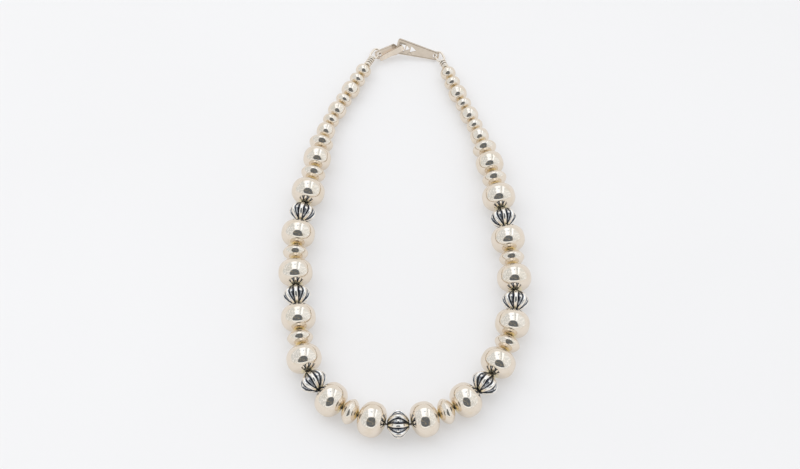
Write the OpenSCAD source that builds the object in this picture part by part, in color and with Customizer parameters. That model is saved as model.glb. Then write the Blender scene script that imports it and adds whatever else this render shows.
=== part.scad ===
// Necklace of graduated silver beads on a thread, closed by a sheet-silver hook and eye.
// It lies on a surface at z = 0 in an egg-shaped loop, with the centre bead to the
// front (-Y) and the clasp to the back (+Y). Lengths are in millimetres.

/* [Plain beads] */
// Diameter of a large bead
large_d = 15; // [14:0.1:15.5]
// Length of a large bead along the thread
large_len = 11.8; // [11.4:0.1:12]
// Diameter of a saucer bead
saucer_d = 11.2; // [10.5:0.1:11.6]
// Length of a saucer bead along the thread
saucer_len = 7.1; // [6.8:0.1:7.4]
// Diameter of the medium bead between the last two saucers
medium_d = 12.6; // [12:0.1:12.8]
// Length of the medium bead
medium_len = 10; // [9.6:0.1:10.2]
// Diameter of a small round bead
round_d = 8.6; // [8:0.1:8.8]
// Length of a small round bead
round_len = 7.4; // [7.2:0.1:7.6]
// Diameter of a small rondelle bead
rondelle_d = 7.7; // [7.4:0.1:8]
// Length of a small rondelle bead
rondelle_len = 5.4; // [5.2:0.1:5.6]
// Diameter of the last bead before the clasp
end_d = 7.3; // [7:0.1:7.8]
// Length of the last bead before the clasp
end_len = 6.1; // [5.9:0.1:6.3]

/* [Fluted beads] */
// Diameter of a fluted bead over its ribs
fluted_d = 12.2; // [11.8:0.1:12.6]
// Length of a fluted bead along the thread
fluted_len = 9.2; // [9:0.1:9.4]
// Number of raised ribs on a fluted bead
rib_count = 8; // [6:1:10]
// Depth of the grooves between the ribs
flute_depth = 0.9; // [0.5:0.1:1.2]
// Turn of the centre bead about the thread, from a rib on top
centre_bead_roll = 26; // [0:1:44]

/* [Thread] */
// Diameter of the silver cable that carries the beads
thread_d = 0.9; // [0.7:0.1:1]
// Diameter of the hole drilled through each bead
hole_d = 1.7; // [1.6:0.1:1.9]
// Least gap between neighbouring beads
bead_gap = 0.1; // [0.1:0.01:0.14]
// Further gap at both ends of a fluted bead
fluted_gap = 0.15; // [0.1:0.01:0.2]

/* [Wire ends] */
// Diameter of the silver wire
wire_d = 0.9; // [0.8:0.05:0.95]
// Outer diameter of the wrapped coil
coil_d = 3.4; // [3.2:0.1:3.6]
// Turns of the left coil
left_turns = 6; // [5:1:6]
// Turns of the right coil
right_turns = 5; // [4:1:5]
// Width of the oval loop between the centres of its sides
loop_w = 3.6; // [3.4:0.1:3.8]
// Length of the oval loop between the centres of its ends
loop_len = 6.2; // [6:0.1:6.4]
// Lean of the oval loops from level
loop_lean = 0; // [-10:1:10]

/* [Clasp] */
// Thickness of the clasp's sheet
sheet = 0.7; // [0.6:0.05:0.8]
// Lean of the clasp's plates towards the front
clasp_lean = 52; // [50:1:56]
// Width of the eye plate at its wide end
eye_wide = 7.7; // [7.4:0.1:8.2]
// Width of either plate at its wire loop
plate_narrow = 4; // [3.8:0.1:4.4]
// Angle between the two plates where they meet
clasp_bend = 152; // [148:1:156]
// Width of the bar that the hook catches
bar_w = 1.5; // [1.4:0.1:1.7]
// Distance of the hook below the middle of the eye plate
hook_drop = 1.2; // [1:0.1:1.3]
// Width of the hook plate where the tongue starts
hook_wide = 5.6; // [5.2:0.1:6]
// Distance from the hook's bend to its wire hole
hook_reach = 10.1; // [9.8:0.1:10.4]
// Width of the hook's tongue
tongue_w = 2.7; // [2.4:0.1:2.8]
// Length of the hook's tongue from its bend
tongue_len = 11.2; // [10:0.1:11.4]
// Turn of the folded tongue from the middle line of its plate
tongue_skew = 9; // [5:1:10]
// Clear space inside the hook's bend
hook_mouth = 1.8; // [1.7:0.1:1.9]
// Diameter of the holes for the wire loops
wire_hole_d = 2.2; // [2.1:0.1:2.4]
// Distance from a wire hole to the end of its plate
hole_edge = 1.9; // [1.8:0.1:2]

/* [Hidden] */
// Small step that lets joined solids share volume
overlap = 0.02;
// Straight steps in a plain bead's outline, from pole to pole
outline_steps = 30;
// Radius of a fluted bead's flat ends, and how its ribs curve between them
pole_r = 1.5;
crest_power = 2.15;
// The coils' wire is a little thicker than the loops' and its turns touch
coil_wire_d = wire_d * 1.2;
coil_pitch = coil_wire_d * 0.93;
coil_r = (coil_d - coil_wire_d) / 2;
// Columns: kind, diameter, length along the thread, and the powers of the outline along
// and across it. Powers of 2 give an ellipse, higher ones a fuller bead, and a low first
// one the saucers' pointed rim
bead_kinds = [
    ["large", large_d, large_len, 2.4, 2.4],
    ["saucer", saucer_d, saucer_len, 1.6, 2.1],
    ["medium", medium_d, medium_len, 2.6, 2.6],
    ["round", round_d, round_len, 2.5, 2.5],
    ["rondelle", rondelle_d, rondelle_len, 2.2, 2.2],
    ["end", end_d, end_len, 2.2, 2.2],
    ["fluted", fluted_d, fluted_len],
];
// Kinds from the centre bead to the clasp, the same on both sides
side_kinds = [
    "fluted", "large", "saucer", "large", "fluted", "large", "saucer", "large",
    "fluted", "large", "saucer", "large", "fluted", "large", "saucer", "medium",
    "saucer", "round", "rondelle", "round", "rondelle", "round", "rondelle", "end",
];
first_small = 17;
last_bead = len(side_kinds) - 1;

// How the string lies. Columns: bead, counted from the centre bead, and its heading in
// degrees from straight outwards (0) through straight back (90) to inwards (over 90).
// The last row is the wire end
left_lie = [
    [0, 0], [1, 19], [2, 24], [3, 39], [4, 57], [5, 75], [6, 83], [7, 84], [8, 84], [9, 86],
    [11, 97], [13, 103], [15, 99], [16, 103], [19, 117], [21, 119], [24, 117],
];
right_lie = [
    [0, 0], [1, 20], [2, 23], [3, 36], [4, 51], [5, 62], [6, 69], [7, 78], [8, 86], [9, 93],
    [11, 99], [13, 99], [16, 105], [19, 113], [21, 113], [23, 108], [24, 111],
];
// Columns: distance along the thread, height of the thread above the surface
thread_rise = [
    [139, large_d / 2], [151, medium_d / 2 + 0.1], [160, saucer_d / 2 + 0.12],
    [173, round_d / 2 + 0.2], [181, round_d / 2 + 0.02],
];
// Fall of the wire ends towards the clasp, in degrees
wire_fall = 9;

// Middle of the centre bead, placed so that the necklace's box is centred on the origin
centre_x = -2.75;
centre_y = -93.57;

sides = [["left", -1], ["right", 1]];

function kind_row(kind) = [for (row = bead_kinds) if (row[0] == kind) row][0];
function bead_len(i) = kind_row(side_kinds[i])[2];

// Distances along the thread from the centre bead to each bead, gaps left out
reach = [for (i = 0, s = 0; i <= last_bead;
    s = s + (i < last_bead ? bead_len(i) + bead_len(i + 1) : 0) / 2, i = i + 1) s];

function is_fluted(i) = side_kinds[i] == "fluted";
function lie(side) = side < 0 ? left_lie : right_lie;
function heading(side, i) = lookup(i, lie(side));
function rise(s) = lookup(s, thread_rise);
function fall(i) = asin((rise(reach[i] + bead_len(i) / 2) - rise(reach[i] - bead_len(i) / 2)) / bead_len(i));

// Unit vector that points outwards at heading 0 and back at heading 90
function along(side, turn, pitch) = [side * cos(turn) * cos(pitch), sin(turn) * cos(pitch), sin(pitch)];
function bead_axis(side, i) = along(side, heading(side, i), fall(i));

// A point of a plain bead's outline, at angle t from its pole: place along, radius
function outline_point(row, t) = [
    row[2] / 2 * sign(cos(t)) * pow(abs(cos(t)), 2 / row[3]),
    row[1] / 2 * pow(sin(t), 2 / row[4]),
];

// Beads whose axes turn against each other need more room than straight ones. The room
// that one of them needs, turned by t from the middle plane of the joint
function turn_room(i, t) =
    i > last_bead ? coil_r * tan(t) :
    is_fluted(i) ? pole_r * tan(t) :
    let (row = kind_row(side_kinds[i]))
    max([for (a = [2:2:44]) let (p = outline_point(row, a)) p[1] * tan(t) - (row[2] / 2 - p[0])]);
function turn_after(side, i) = acos(min(1, bead_axis(side, i) * next_axis(side, i)));
function next_axis(side, i) = i < last_bead ? bead_axis(side, i + 1) : wire_axis(side);
function gap_after(side, i) = let (t = turn_after(side, i) / 2)
    bead_gap + (is_fluted(i) || is_fluted(i + 1) ? fluted_gap : 0)
    + max(0, turn_room(i, t)) + max(0, turn_room(i + 1, t));

function flat(v) = [v[0], v[1], 0];
function half_step(side, i, gap) = (bead_len(i) + gap) / 2 * bead_axis(side, i);
function bead_step(side, i) =
    half_step(side, i, gap_after(side, i)) + half_step(side, i + 1, gap_after(side, i));

// Places of the beads' middles on the surface, and the same with their heights
function plan_places(side) = [for (i = 0, p = [centre_x, centre_y, 0]; i <= last_bead;
    p = p + (i < last_bead ? flat(bead_step(side, i)) : [0, 0, 0]), i = i + 1) p];
left_plan = plan_places(-1);
right_plan = plan_places(1);
function bead_place(side, i) = (side < 0 ? left_plan : right_plan)[i] + [0, 0, rise(reach[i])];

function unit(v) = v / norm(v);

// Where the thread leaves bead i and enters the next one
function joint_place(side, i) = bead_place(side, i) + half_step(side, i, gap_after(side, i));

// Wire ends: start, direction and the point where the coil ends and the loop begins
function wire_axis(side) = along(side, heading(side, last_bead + 1), -wire_fall);
function wire_start(side) =
    joint_place(side, last_bead) + gap_after(side, last_bead) / 2 * wire_axis(side);
function turns(side) = side < 0 ? left_turns : right_turns;
function coil_len(side) = coil_wire_d + (turns(side) - 1) * coil_pitch;

// The loop's plane holds the wire's axis and this vector, which leans out of level
function loop_side(side) =
    let (axis = wire_axis(side), level = unit([side * axis[1], -side * axis[0], 0]))
    let (square = unit(cross(cross(axis, level), axis)))
    cos(loop_lean) * square + sin(loop_lean) * side * cross(square, axis);
// The side of the loop that faces the clasp passes through the plate's hole, on the left
// some way before the loop's end
left_slide = 1;
function wire_hole_place(side) = wire_start(side)
    + (coil_len(side) + loop_len - loop_w / 2 - overlap - (side < 0 ? left_slide : 0)) * wire_axis(side)
    - loop_w / 2 * loop_side(side);

// Clasp: the triangle of the two wire holes and the hook's bend, in the leaning plane
left_hole = wire_hole_place(-1);
right_hole = wire_hole_place(1);
hole_span = norm(right_hole - left_hole);
clasp_x = unit(right_hole - left_hole);
clasp_level = unit([-clasp_x[1], clasp_x[0], 0]);
clasp_y = cos(clasp_lean) * clasp_level + sin(clasp_lean) * cross(clasp_x, clasp_level);
clasp_z = cross(clasp_x, clasp_y);
eye_reach = hook_reach * cos(clasp_bend) + sqrt(pow(hole_span, 2) - pow(hook_reach * sin(clasp_bend), 2));
hook_swing = acos((hook_reach * hook_reach + hole_span * hole_span - eye_reach * eye_reach)
    / (2 * hook_reach * hole_span));
eye_swing = acos((eye_reach * eye_reach + hole_span * hole_span - hook_reach * hook_reach)
    / (2 * eye_reach * hole_span));
// The eye plate lies in the middle of the hook's mouth
mouth_middle = (sheet + hook_mouth) / 2;
hook_tip = asin(mouth_middle / hook_reach);
// Middle of the hook's bend, just past the bar that it catches
bend_place = hook_reach + 0.5;

// Eye plate, along +x from its wide end to its narrow one, with its slot off the middle
eye_tilt = asin(hook_drop / eye_reach);
eye_len = bar_w + eye_reach * cos(eye_tilt) + hole_edge;
slot_len = 2.75;
slot_w = 3.3;
slot_low = -hook_drop - 0.7;
corner_r = 1.1;
// Columns: start of the triangle along the plate, its length, its height
eye_triangles = [[4.45, 2.1, 2.8], [6.75, 2.9, 3.1]];

// Fluted bead: columns are place along the bead (-1 to 1) and share of the groove's depth
flute_stations = [[-1, 0], [-0.93, 0.35], [-0.8, 0.6], [-0.56, 0.85], [-0.28, 1], [0, 0.8],
    [0.28, 1], [0.56, 0.85], [0.8, 0.6], [0.93, 0.35], [1, 0]];
// Share of the groove's depth at each step from one rib to the next
rib_steps = [0, 0.25, 1, 0.7, 1, 0.25];
flute_steps = rib_count * len(rib_steps);

function crest_r(u) = pole_r + (fluted_d / 2 - pole_r) * (1 - pow(abs(u), crest_power));
function flute_point(station, j) =
    let (depth = flute_depth * station[1] * rib_steps[j % len(rib_steps)])
    let (r = crest_r(station[0]) - depth, a = 180 + j * 360 / flute_steps)
    [r * cos(a), r * sin(a), station[0] * fluted_len / 2];

// Thread: from inside the left coil through every bead into the right coil
thread_inset = 2;
function thread_half(side) = concat(
    [for (i = [0:last_bead]) joint_place(side, i)],
    [wire_start(side) + thread_inset * wire_axis(side)]
);
thread_left = thread_half(-1);
thread_right = thread_half(1);
thread_route = concat([for (i = [len(thread_left) - 1:-1:0]) thread_left[i]], thread_right);
thread_sides = 8;

function own_name(side, i) = str(
    side_kinds[i], "_", side[0], "_", len([for (k = [1:i]) if (side_kinds[k] == side_kinds[i]) k]));
own_beads = [for (side = sides) for (i = [1:first_small - 1]) [own_name(side, i), side[1], i]];

// Stands its children's z axis along a unit vector
module stand_along(v) {
    rotate([0, acos(v[2]), atan2(v[1], v[0])]) children();
}

// Moves its children into the frame with the given x, y and z vectors and origin
module in_frame(x, y, z, origin) {
    multmatrix([
        [x[0], y[0], z[0], origin[0]],
        [x[1], y[1], z[1], origin[1]],
        [x[2], y[2], z[2], origin[2]],
        [0, 0, 0, 1]
    ]) children();
}

module bead_hole(length) {
    cylinder(h = length + 2, d = hole_d, center = true, $fn = 48);
}

module plain_bead(row) {
    difference() {
        rotate_extrude($fn = 64) polygon([
            for (k = [0:outline_steps]) let (p = outline_point(row, k * 180 / outline_steps)) [p[1], p[0]]
        ]);
        bead_hole(row[2]);
    }
}

module fluted_bead() {
    rings = len(flute_stations);
    n = flute_steps;
    points = [for (station = flute_stations) for (j = [0:n - 1]) flute_point(station, j)];
    walls = [for (k = [0:rings - 2]) for (j = [0:n - 1])
        let (a = k * n + j, b = k * n + (j + 1) % n)
        each [[a, a + n, b], [b, a + n, b + n]]];
    bottom = [for (j = [0:n - 1]) j];
    top = [for (j = [n - 1:-1:0]) (rings - 1) * n + j];
    difference() {
        polyhedron(points, concat([bottom, top], walls));
        bead_hole(fluted_len);
    }
}

module placed_bead(side, i) {
    translate(bead_place(side, i)) stand_along(bead_axis(side, i)) {
        if (is_fluted(i))
            fluted_bead();
        else
            plain_bead(kind_row(side_kinds[i]));
    }
}

module fluted_centre() {
    color("silver")
    translate(bead_place(1, 0)) stand_along(bead_axis(1, 0)) rotate([0, 0, centre_bead_roll]) fluted_bead();
}

module own_bead(side, i) {
    color("silver") placed_bead(side, i);
}

module small_beads(side) {
    color("silver")
    for (i = [first_small:last_bead]) placed_bead(side, i);
}

module thread() {
    n = thread_sides;
    last = len(thread_route) - 1;
    rings = [for (i = [0:last])
        let (ahead = unit(thread_route[min(i + 1, last)] - thread_route[max(i - 1, 0)]))
        let (level = unit(cross([0, 0, 1], ahead)), upright = cross(ahead, level))
        for (j = [0:n - 1])
            let (a = j * 360 / n)
            thread_route[i] + thread_d / 2 * (cos(a) * level + sin(a) * upright)];
    walls = [for (i = [0:last - 1]) for (j = [0:n - 1])
        let (a = i * n + j, b = i * n + (j + 1) % n)
        each [[a, a + n, b], [b, a + n, b + n]]];
    start = [for (j = [0:n - 1]) j];
    end = [for (j = [n - 1:-1:0]) last * n + j];
    color("gray") polyhedron(rings, concat([start, end], walls));
}

// Half a ring of round wire in the xy plane, bulging towards +x
module half_ring(r, d) {
    rotate([0, 0, -90]) rotate_extrude(angle = 180, $fn = 64) translate([r, 0]) circle(d = d, $fn = 32);
}

// Oval loop of wire: x along the loop from its base, y across it
module wire_loop() {
    r = loop_w / 2;
    straight = loop_len - loop_w;
    translate([loop_len - r, 0, 0]) half_ring(r, wire_d);
    translate([r, 0, 0]) rotate([0, 0, 180]) half_ring(r, wire_d);
    for (y = [-r, r]) translate([r, y, 0]) rotate([0, 90, 0]) cylinder(h = straight, d = wire_d, $fn = 32);
}

// Coil as closed turns that share a little volume with their neighbours
module wire_coil(turn_count) {
    for (k = [0:turn_count - 1])
        translate([coil_wire_d / 2 + k * coil_pitch, 0, 0]) rotate([0, 90, 0])
            rotate_extrude($fn = 64) translate([coil_r, 0]) circle(d = coil_wire_d, $fn = 32);
}

module wire_end(side) {
    axis = wire_axis(side);
    across = loop_side(side);
    color("silver")
    in_frame(axis, across, cross(axis, across), wire_start(side)) {
        wire_coil(turns(side));
        translate([coil_len(side) - overlap, 0, 0]) wire_loop();
    }
}

// Points of a rounded corner from angle a to angle b
function corner(x, y, r, a, b) = [for (k = [0:4]) let (t = a + (b - a) * k / 4) [x + r * cos(t), y + r * sin(t)]];

module eye_outline() {
    y1 = eye_wide / 2;
    y2 = plate_narrow / 2;
    polygon(concat(
        corner(corner_r, y1 - corner_r, corner_r, 98, 180),
        corner(corner_r, corner_r - y1, corner_r, 180, 262),
        corner(eye_len - corner_r, corner_r - y2, corner_r, 278, 360),
        corner(eye_len - corner_r, y2 - corner_r, corner_r, 0, 82)
    ));
}

module eye_plate() {
    color("lightgray")
    in_frame(clasp_x, clasp_y, clasp_z, left_hole)
    translate(hook_reach * [cos(hook_swing), sin(hook_swing), 0]) rotate([0, 0, -eye_swing - eye_tilt])
    translate([-bar_w, hook_drop, -sheet / 2])
    difference() {
        linear_extrude(sheet) eye_outline();
        translate([bar_w, slot_low, -1]) cube([slot_len, slot_w, sheet + 2]);
        for (t = eye_triangles)
            translate([t[0], 0, -1]) linear_extrude(sheet + 2)
                polygon([[0, -t[2] / 2], [t[1], 0], [0, t[2] / 2]]);
        translate([eye_len - hole_edge, 0, -1]) cylinder(h = sheet + 2, d = wire_hole_d, $fn = 48);
    }
}

// Plan of the hook's base: its rounded narrow end, its wide end and the neck of the tongue
module hook_outline() {
    y1 = plate_narrow / 2;
    y2 = hook_wide / 2;
    shoulder = bend_place - 1.4;
    polygon(concat(
        corner(corner_r - hole_edge, y1 - corner_r, corner_r, 98, 180),
        corner(corner_r - hole_edge, corner_r - y1, corner_r, 180, 262),
        [[shoulder - 1, -y2], [shoulder, corner_r - y2], [shoulder, -tongue_w / 2]],
        [for (y = [-1, 1]) [bend_place, 0] + y * tongue_w / 2 * [-sin(tongue_skew), cos(tongue_skew)]],
        [[shoulder, tongue_w / 2], [shoulder, y2 - corner_r], [shoulder - 1, y2]]
    ));
}

module hook_bend() {
    rotate([90, 0, 0]) linear_extrude(tongue_w, center = true) difference() {
        circle(r = hook_mouth / 2 + sheet, $fn = 64);
        circle(r = hook_mouth / 2, $fn = 64);
        translate([-10, -5]) square([10, 10]);
    }
}

module hook_tongue() {
    r = tongue_w / 2;
    linear_extrude(sheet) polygon(concat(
        corner(r - tongue_len, 0, r, 90, 270),
        [[0, -r], [0, r]]
    ));
}

module hook_plate() {
    color("lightgray")
    in_frame(clasp_x, clasp_y, clasp_z, left_hole)
    rotate([0, 0, hook_swing]) rotate([0, hook_tip, 0])
    difference() {
        union() {
            translate([0, 0, -sheet / 2]) linear_extrude(sheet) hook_outline();
            translate([bend_place, 0, 0]) rotate([0, 0, tongue_skew]) {
                translate([0, 0, mouth_middle]) hook_bend();
                translate([0, 0, sheet / 2 + hook_mouth]) hook_tongue();
            }
        }
        translate([0, 0, -1]) cylinder(h = 2, d = wire_hole_d, $fn = 48);
    }
}

fluted_centre();
for (bead = own_beads) own_bead(bead[1], bead[2]);
small_beads(-1);  // small_beads_left
small_beads(1);  // small_beads_right
thread();
wire_end(-1);  // wire_end_left
wire_end(1);  // wire_end_right
hook_plate();
eye_plate();
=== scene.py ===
"""Looks of the silver bead necklace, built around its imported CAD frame.

Every bead is respun from the place, axis and size that its frame solid has, with the
bore, the lip and the slight waviness of hand-raised silver. The fluted beads get their
ribs and oxidised grooves, the wire ends their helix, the clasp its rounded edges.
"""

import math

import bmesh
import bpy
import numpy as np
from mathutils import Matrix, Vector, noise


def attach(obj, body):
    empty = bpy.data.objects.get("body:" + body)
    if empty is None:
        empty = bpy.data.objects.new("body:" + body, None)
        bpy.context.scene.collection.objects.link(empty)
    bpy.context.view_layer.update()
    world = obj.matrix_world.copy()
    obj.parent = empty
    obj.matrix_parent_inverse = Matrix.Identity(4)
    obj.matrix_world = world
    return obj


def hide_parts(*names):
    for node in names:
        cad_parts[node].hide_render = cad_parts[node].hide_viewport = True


MM = 0.001
BODY = "root"

# The photograph's camera, found from the places of the beads in it
CAMERA_ELEVATION = math.radians(62.67)
CAMERA_DISTANCE = 592.05 * MM
CAMERA_AIM = Vector((-2.042, -1.63, 0)) * MM
SENSOR_WIDTH = 36.0
FOCAL_LENGTH = SENSOR_WIDTH * 1317.5 / 800

# Soft lights for the paper, which silver doesn't mirror: direction, distance, size, power
FILLS = {
    "overhead": (Vector((0.0, 0.05, 1.0)), 2.5, 5.0, 36.0),
    "left": (Vector((-0.62, 0.30, 0.72)), 1.6, 1.0, 4.0),
}

# Beads
HOLE_R = 0.85 * MM
LIP = 0.16 * MM
# Powers of a bead's outline along and across the thread: 2 is an ellipse, more is fuller
OUTLINE_POWERS = {
    "large": (2.4, 2.4),
    "saucer": (1.6, 2.1),
    "medium": (2.6, 2.6),
    "round": (2.5, 2.5),
    "slim": (2.2, 2.2),
}
ROUND_LEAST_D = 8.2 * MM
LARGE_LEAST_D = 12 * MM
# Points round a bead and steps along its outside, for the large ones and the others
LARGE_GRID = (96, 64)
BEAD_GRID = (64, 48)
FLUTED_GRID = (192, 60)
DENT = 0.022 * MM
DENT_SIZE = 4.2 * MM
# Shares of a bead's radius over which tarnish, painted gold reflection and painted shade fade out from
# the bore
TARNISH_AND_PAINTED_LIGHT_INNER = 0.16
TARNISH_AND_PAINTED_LIGHT_OUTER = 0.49
RIB_COUNT = 8
RIB_BAND = 0.6 * MM
RIB_LEAST_R = 4 * MM
FLUTE_DEPTH = 0.9 * MM
FLUTE_END_SHARE = 0.42
POLE_R = 1.5 * MM
CREST_POWER = 2.15
CREST_SHARE = 0.982

# Wire ends: start, direction, and side of the loop that faces the clasp
WIRE_ENDS = {
    "wire_end_left": {
        "start": Vector((-17.9469, 86.851, 4.3033)) * MM,
        "axis": Vector((0.448401, 0.880037, -0.156434)),
        "side": Vector((-0.891007, 0.45399, 0)),
        "coil_len": 6.022 * MM,
        "turns": 5,
    },
    "wire_end_right": {
        "start": Vector((19.7744, 85.554, 4.3028)) * MM,
        "axis": Vector((-0.353956, 0.922087, -0.156434)),
        "side": Vector((0.93358, 0.358368, 0)),
        "coil_len": 5.018 * MM,
        "turns": 4,
    },
}
WIRE_D = 1.02 * MM
COIL_WIRE_D = 1.16 * MM
COIL_R = 1.10 * MM
WIRE_SIDES = 20
# Part of a turn that the coil's last ring goes on, and the length at each end of the coil that the
# painted shade between its turns leaves out
COIL_OVERRUN = 0.35
COIL_END_UNSHADED = 0.3 * MM
LOOP_W = 3.6 * MM
LOOP_LEN = 6.2 * MM

# Clasp: the plane that both plates lie in, its origin the hook plate's wire hole, and
# what places them there
CLASP_ORIGIN = np.array((-12.0914, 94.3783, 2.82)) * MM
CLASP_X = np.array((0.99963, -0.0272083, 0.0))
CLASP_Y = np.array((0.0167459, 0.615434, 0.788011))
HOOK_SWING = math.radians(17.8247)
HOOK_REACH = 10.1 * MM
HOOK_WIDE = 5.6 * MM
EYE_SWING = math.radians(-14.1071)
EYE_LEN = 20.8595 * MM
EYE_WIDE = 7.7 * MM
PLATE_NARROW = 4.0 * MM
HOLE_EDGE = 1.9 * MM
BAR_W = 1.5 * MM
HOOK_DROP = 1.2 * MM
CHEVRON_PLACE = (6.95 * MM, -1.45 * MM)
SHEET = 0.7 * MM
EDGE_ROUND = 0.08 * MM
CORNER_R = 1.1 * MM
WIRE_HOLE_D = 2.2 * MM
SLOT_LEN = 2.64 * MM
SLOT_W = 3.3 * MM
SLOT_LOW = -HOOK_DROP - 0.7 * MM
# Columns: start of the triangle along the eye plate, its length, its height
EYE_TRIANGLES = np.array(((4.65, 1.8, 2.7), (6.85, 2.8, 3.1))) * MM
HOOK_TIP = math.radians(7.10929)
BEND_PLACE = HOOK_REACH + 0.5 * MM
HOOK_MOUTH = 1.8 * MM
TONGUE_LEN = 11.2 * MM
TONGUE_W = 2.7 * MM
TONGUE_END_W = 2.15 * MM
TONGUE_SKEW = math.radians(9)
TONGUE_DIP = 0.55 * MM
# Where the tongue's dip starts, from the bend, and how long it is
DIP_START = 2.8 * MM
DIP_LEN = 7.4 * MM

# Colours of light and surfaces, scene linear
SILVER = (0.835, 0.745, 0.635, 1)
SILVER_WARM = (0.795, 0.695, 0.565, 1)
# Tarnish near the beads' bores with a painted gold reflection of their neighbours, and painted shade at
# its core
TARNISH_AND_REFLECTION_GOLD = (0.98, 0.865, 0.585, 1)
TARNISH_AND_SHADE_CORE = (0.36, 0.27, 0.16, 1)
# Tarnish film turning to dark painted shade where the coil's turns face each other
WIRE_FILM_AND_SHADE = (0.42, 0.34, 0.25, 1)
WIRE_DARK = (0.09, 0.068, 0.048, 1)
PLATE_SILVER = (0.81, 0.685, 0.555, 1)
PLATE_WARM = (0.73, 0.61, 0.48, 1)
# The hook plate's silver, painted lighter than the eye plate's to offset the shade its tongue casts on
# it
HOOK_SILVER_LIGHTENED = (0.90, 0.765, 0.625, 1)
HOOK_WARM_LIGHTENED = (0.82, 0.69, 0.55, 1)
# Tarnish in the engraved lines, also used as painted shade on the plates' cut edges
PLATE_LINE_AND_EDGE_SHADE = (0.30, 0.225, 0.15, 1)
# Painted shade over the eye plate's slot and on the hook plate beside the eye plate
PLATE_SHADE = (0.30, 0.23, 0.155, 1)
RIB_SILVER = (0.93, 0.875, 0.80, 1)
RIB_WARM = (0.87, 0.80, 0.70, 1)
OXIDE = (0.016, 0.017, 0.020, 1)
OXIDE_BLUE = (0.062, 0.069, 0.083, 1)
OXIDE_FILM = (0.36, 0.37, 0.39, 1)
CABLE_GREY = (0.20, 0.175, 0.145, 1)
PAPER = (0.476, 0.468, 0.465, 1)
PAPER_SHADE = (0.466, 0.458, 0.455, 1)
# The paper's glow is painted light that lifts the shadows on it; its warm tint warms them
PAPER_GLOW = 0.353
GLOW_WARM = (1.0, 0.972, 0.942, 1)
WALL_WHITE = (0.90, 0.905, 0.91, 1)
WINDOW_WHITE = (1.36, 1.46, 1.62, 1)
ROOM_LEFT = (0.72, 0.77, 0.82, 1)
ROOM_RIGHT = (0.88, 0.94, 1.00, 1)
ROOM_FRONT = (0.74, 0.78, 0.82, 1)
ROOM_GLINT = (1.22, 1.29, 1.38, 1)
RIM_WHITE = (1.15, 1.22, 1.30, 1)
WINDOW_BAR = (0.40, 0.43, 0.46, 1)
LAMP_GREY = (0.30, 0.40, 0.52, 1)
COAT_BLUE = (0.137, 0.160, 0.192, 1)
COAT_BROWN = (0.297, 0.286, 0.248, 1)

# The room that the silver mirrors: ranges in x of the windows and of the bar between
# them, directions of the small lamp and of the photographer's axes, their half width
WIDE_WINDOW = (-0.32, 0.12)
NARROW_WINDOW = (0.33, 0.50)
BAR_BETWEEN = (0.27, 0.31)
LAMP_PLACE = (0.0, 0.50, 0.866)
PERSON_AHEAD = (0.0, -0.53, 0.848)
PERSON_UP = (0.0, 0.848, 0.53)
PERSON_HALF_W = 0.63
HEM_EDGE = (-0.77, -0.67)
HEM_RIM = (-0.95, -0.71)
# How far the white sweep rises behind and in front, as the height of a unit direction
SWEEP_RISE_BEHIND = 0.54
SWEEP_RISE_FRONT = 0.18


class Graph:
    """Short names for the few node kinds that the materials and the world use."""

    def __init__(self, tree):
        self.tree = tree
        self.tree.nodes.clear()

    def node(self, kind, **settings):
        made = self.tree.nodes.new(kind)
        for name, value in settings.items():
            setattr(made, name, value)
        return made

    def plug(self, socket, value):
        if isinstance(value, bpy.types.NodeSocket):
            self.tree.links.new(value, socket)
        else:
            socket.default_value = value

    def math(self, operation, *values, clamp=False):
        made = self.node("ShaderNodeMath", operation=operation, use_clamp=clamp)
        for socket, value in zip(made.inputs, values):
            self.plug(socket, value)
        return made.outputs[0]

    def step(self, value, low, high, start=0.0, end=1.0):
        """Smooth change from start at low to end at high."""
        made = self.node("ShaderNodeMapRange", interpolation_type="SMOOTHSTEP")
        for socket, v in zip(made.inputs, (value, low, high, start, end)):
            self.plug(socket, v)
        return made.outputs[0]

    def between(self, value, low, high, soft):
        """1 inside low to high, with soft edges."""
        rise = self.step(value, low - soft, low + soft)
        fall = self.step(value, high - soft, high + soft, 1.0, 0.0)
        return self.math("MULTIPLY", rise, fall)

    def mix(self, share, first, second):
        made = self.node("ShaderNodeMix", data_type="RGBA")
        self.plug(made.inputs[0], share)
        self.plug(made.inputs[6], first)
        self.plug(made.inputs[7], second)
        return made.outputs[2]

    def coordinate(self, place, origin, axis):
        """Distance of a place from the origin along a unit vector."""
        made = self.node("ShaderNodeVectorMath", operation="DOT_PRODUCT")
        self.plug(made.inputs[0], place)
        made.inputs[1].default_value = tuple(axis)
        return self.math("SUBTRACT", made.outputs["Value"], float(np.dot(origin, axis)))

    def noise(self, vector, scale, detail=2.0, roughness=0.5):
        made = self.node("ShaderNodeTexNoise")
        self.plug(made.inputs["Vector"], vector)
        made.inputs["Scale"].default_value = scale
        made.inputs["Detail"].default_value = detail
        made.inputs["Roughness"].default_value = roughness
        return made.outputs[0]

    def scaled(self, vector, factors, turn=(0, 0, 0)):
        made = self.node("ShaderNodeMapping")
        self.plug(made.inputs["Vector"], vector)
        made.inputs["Rotation"].default_value = turn
        made.inputs["Scale"].default_value = factors
        return made.outputs[0]

    def bump(self, height, strength, distance, normal=None):
        made = self.node("ShaderNodeBump")
        made.inputs["Strength"].default_value = strength
        made.inputs["Distance"].default_value = distance
        self.plug(made.inputs["Height"], height)
        if normal is not None:
            self.plug(made.inputs["Normal"], normal)
        return made.outputs[0]


def new_material(name):
    material = bpy.data.materials.new(name)
    material.use_nodes = True
    graph = Graph(material.node_tree)
    place = graph.node("ShaderNodeTexCoord").outputs["Object"]
    shader = graph.node("ShaderNodeBsdfPrincipled")
    out = graph.node("ShaderNodeOutputMaterial")
    graph.tree.links.new(shader.outputs[0], out.inputs["Surface"])
    return material, graph, place, shader


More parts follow.
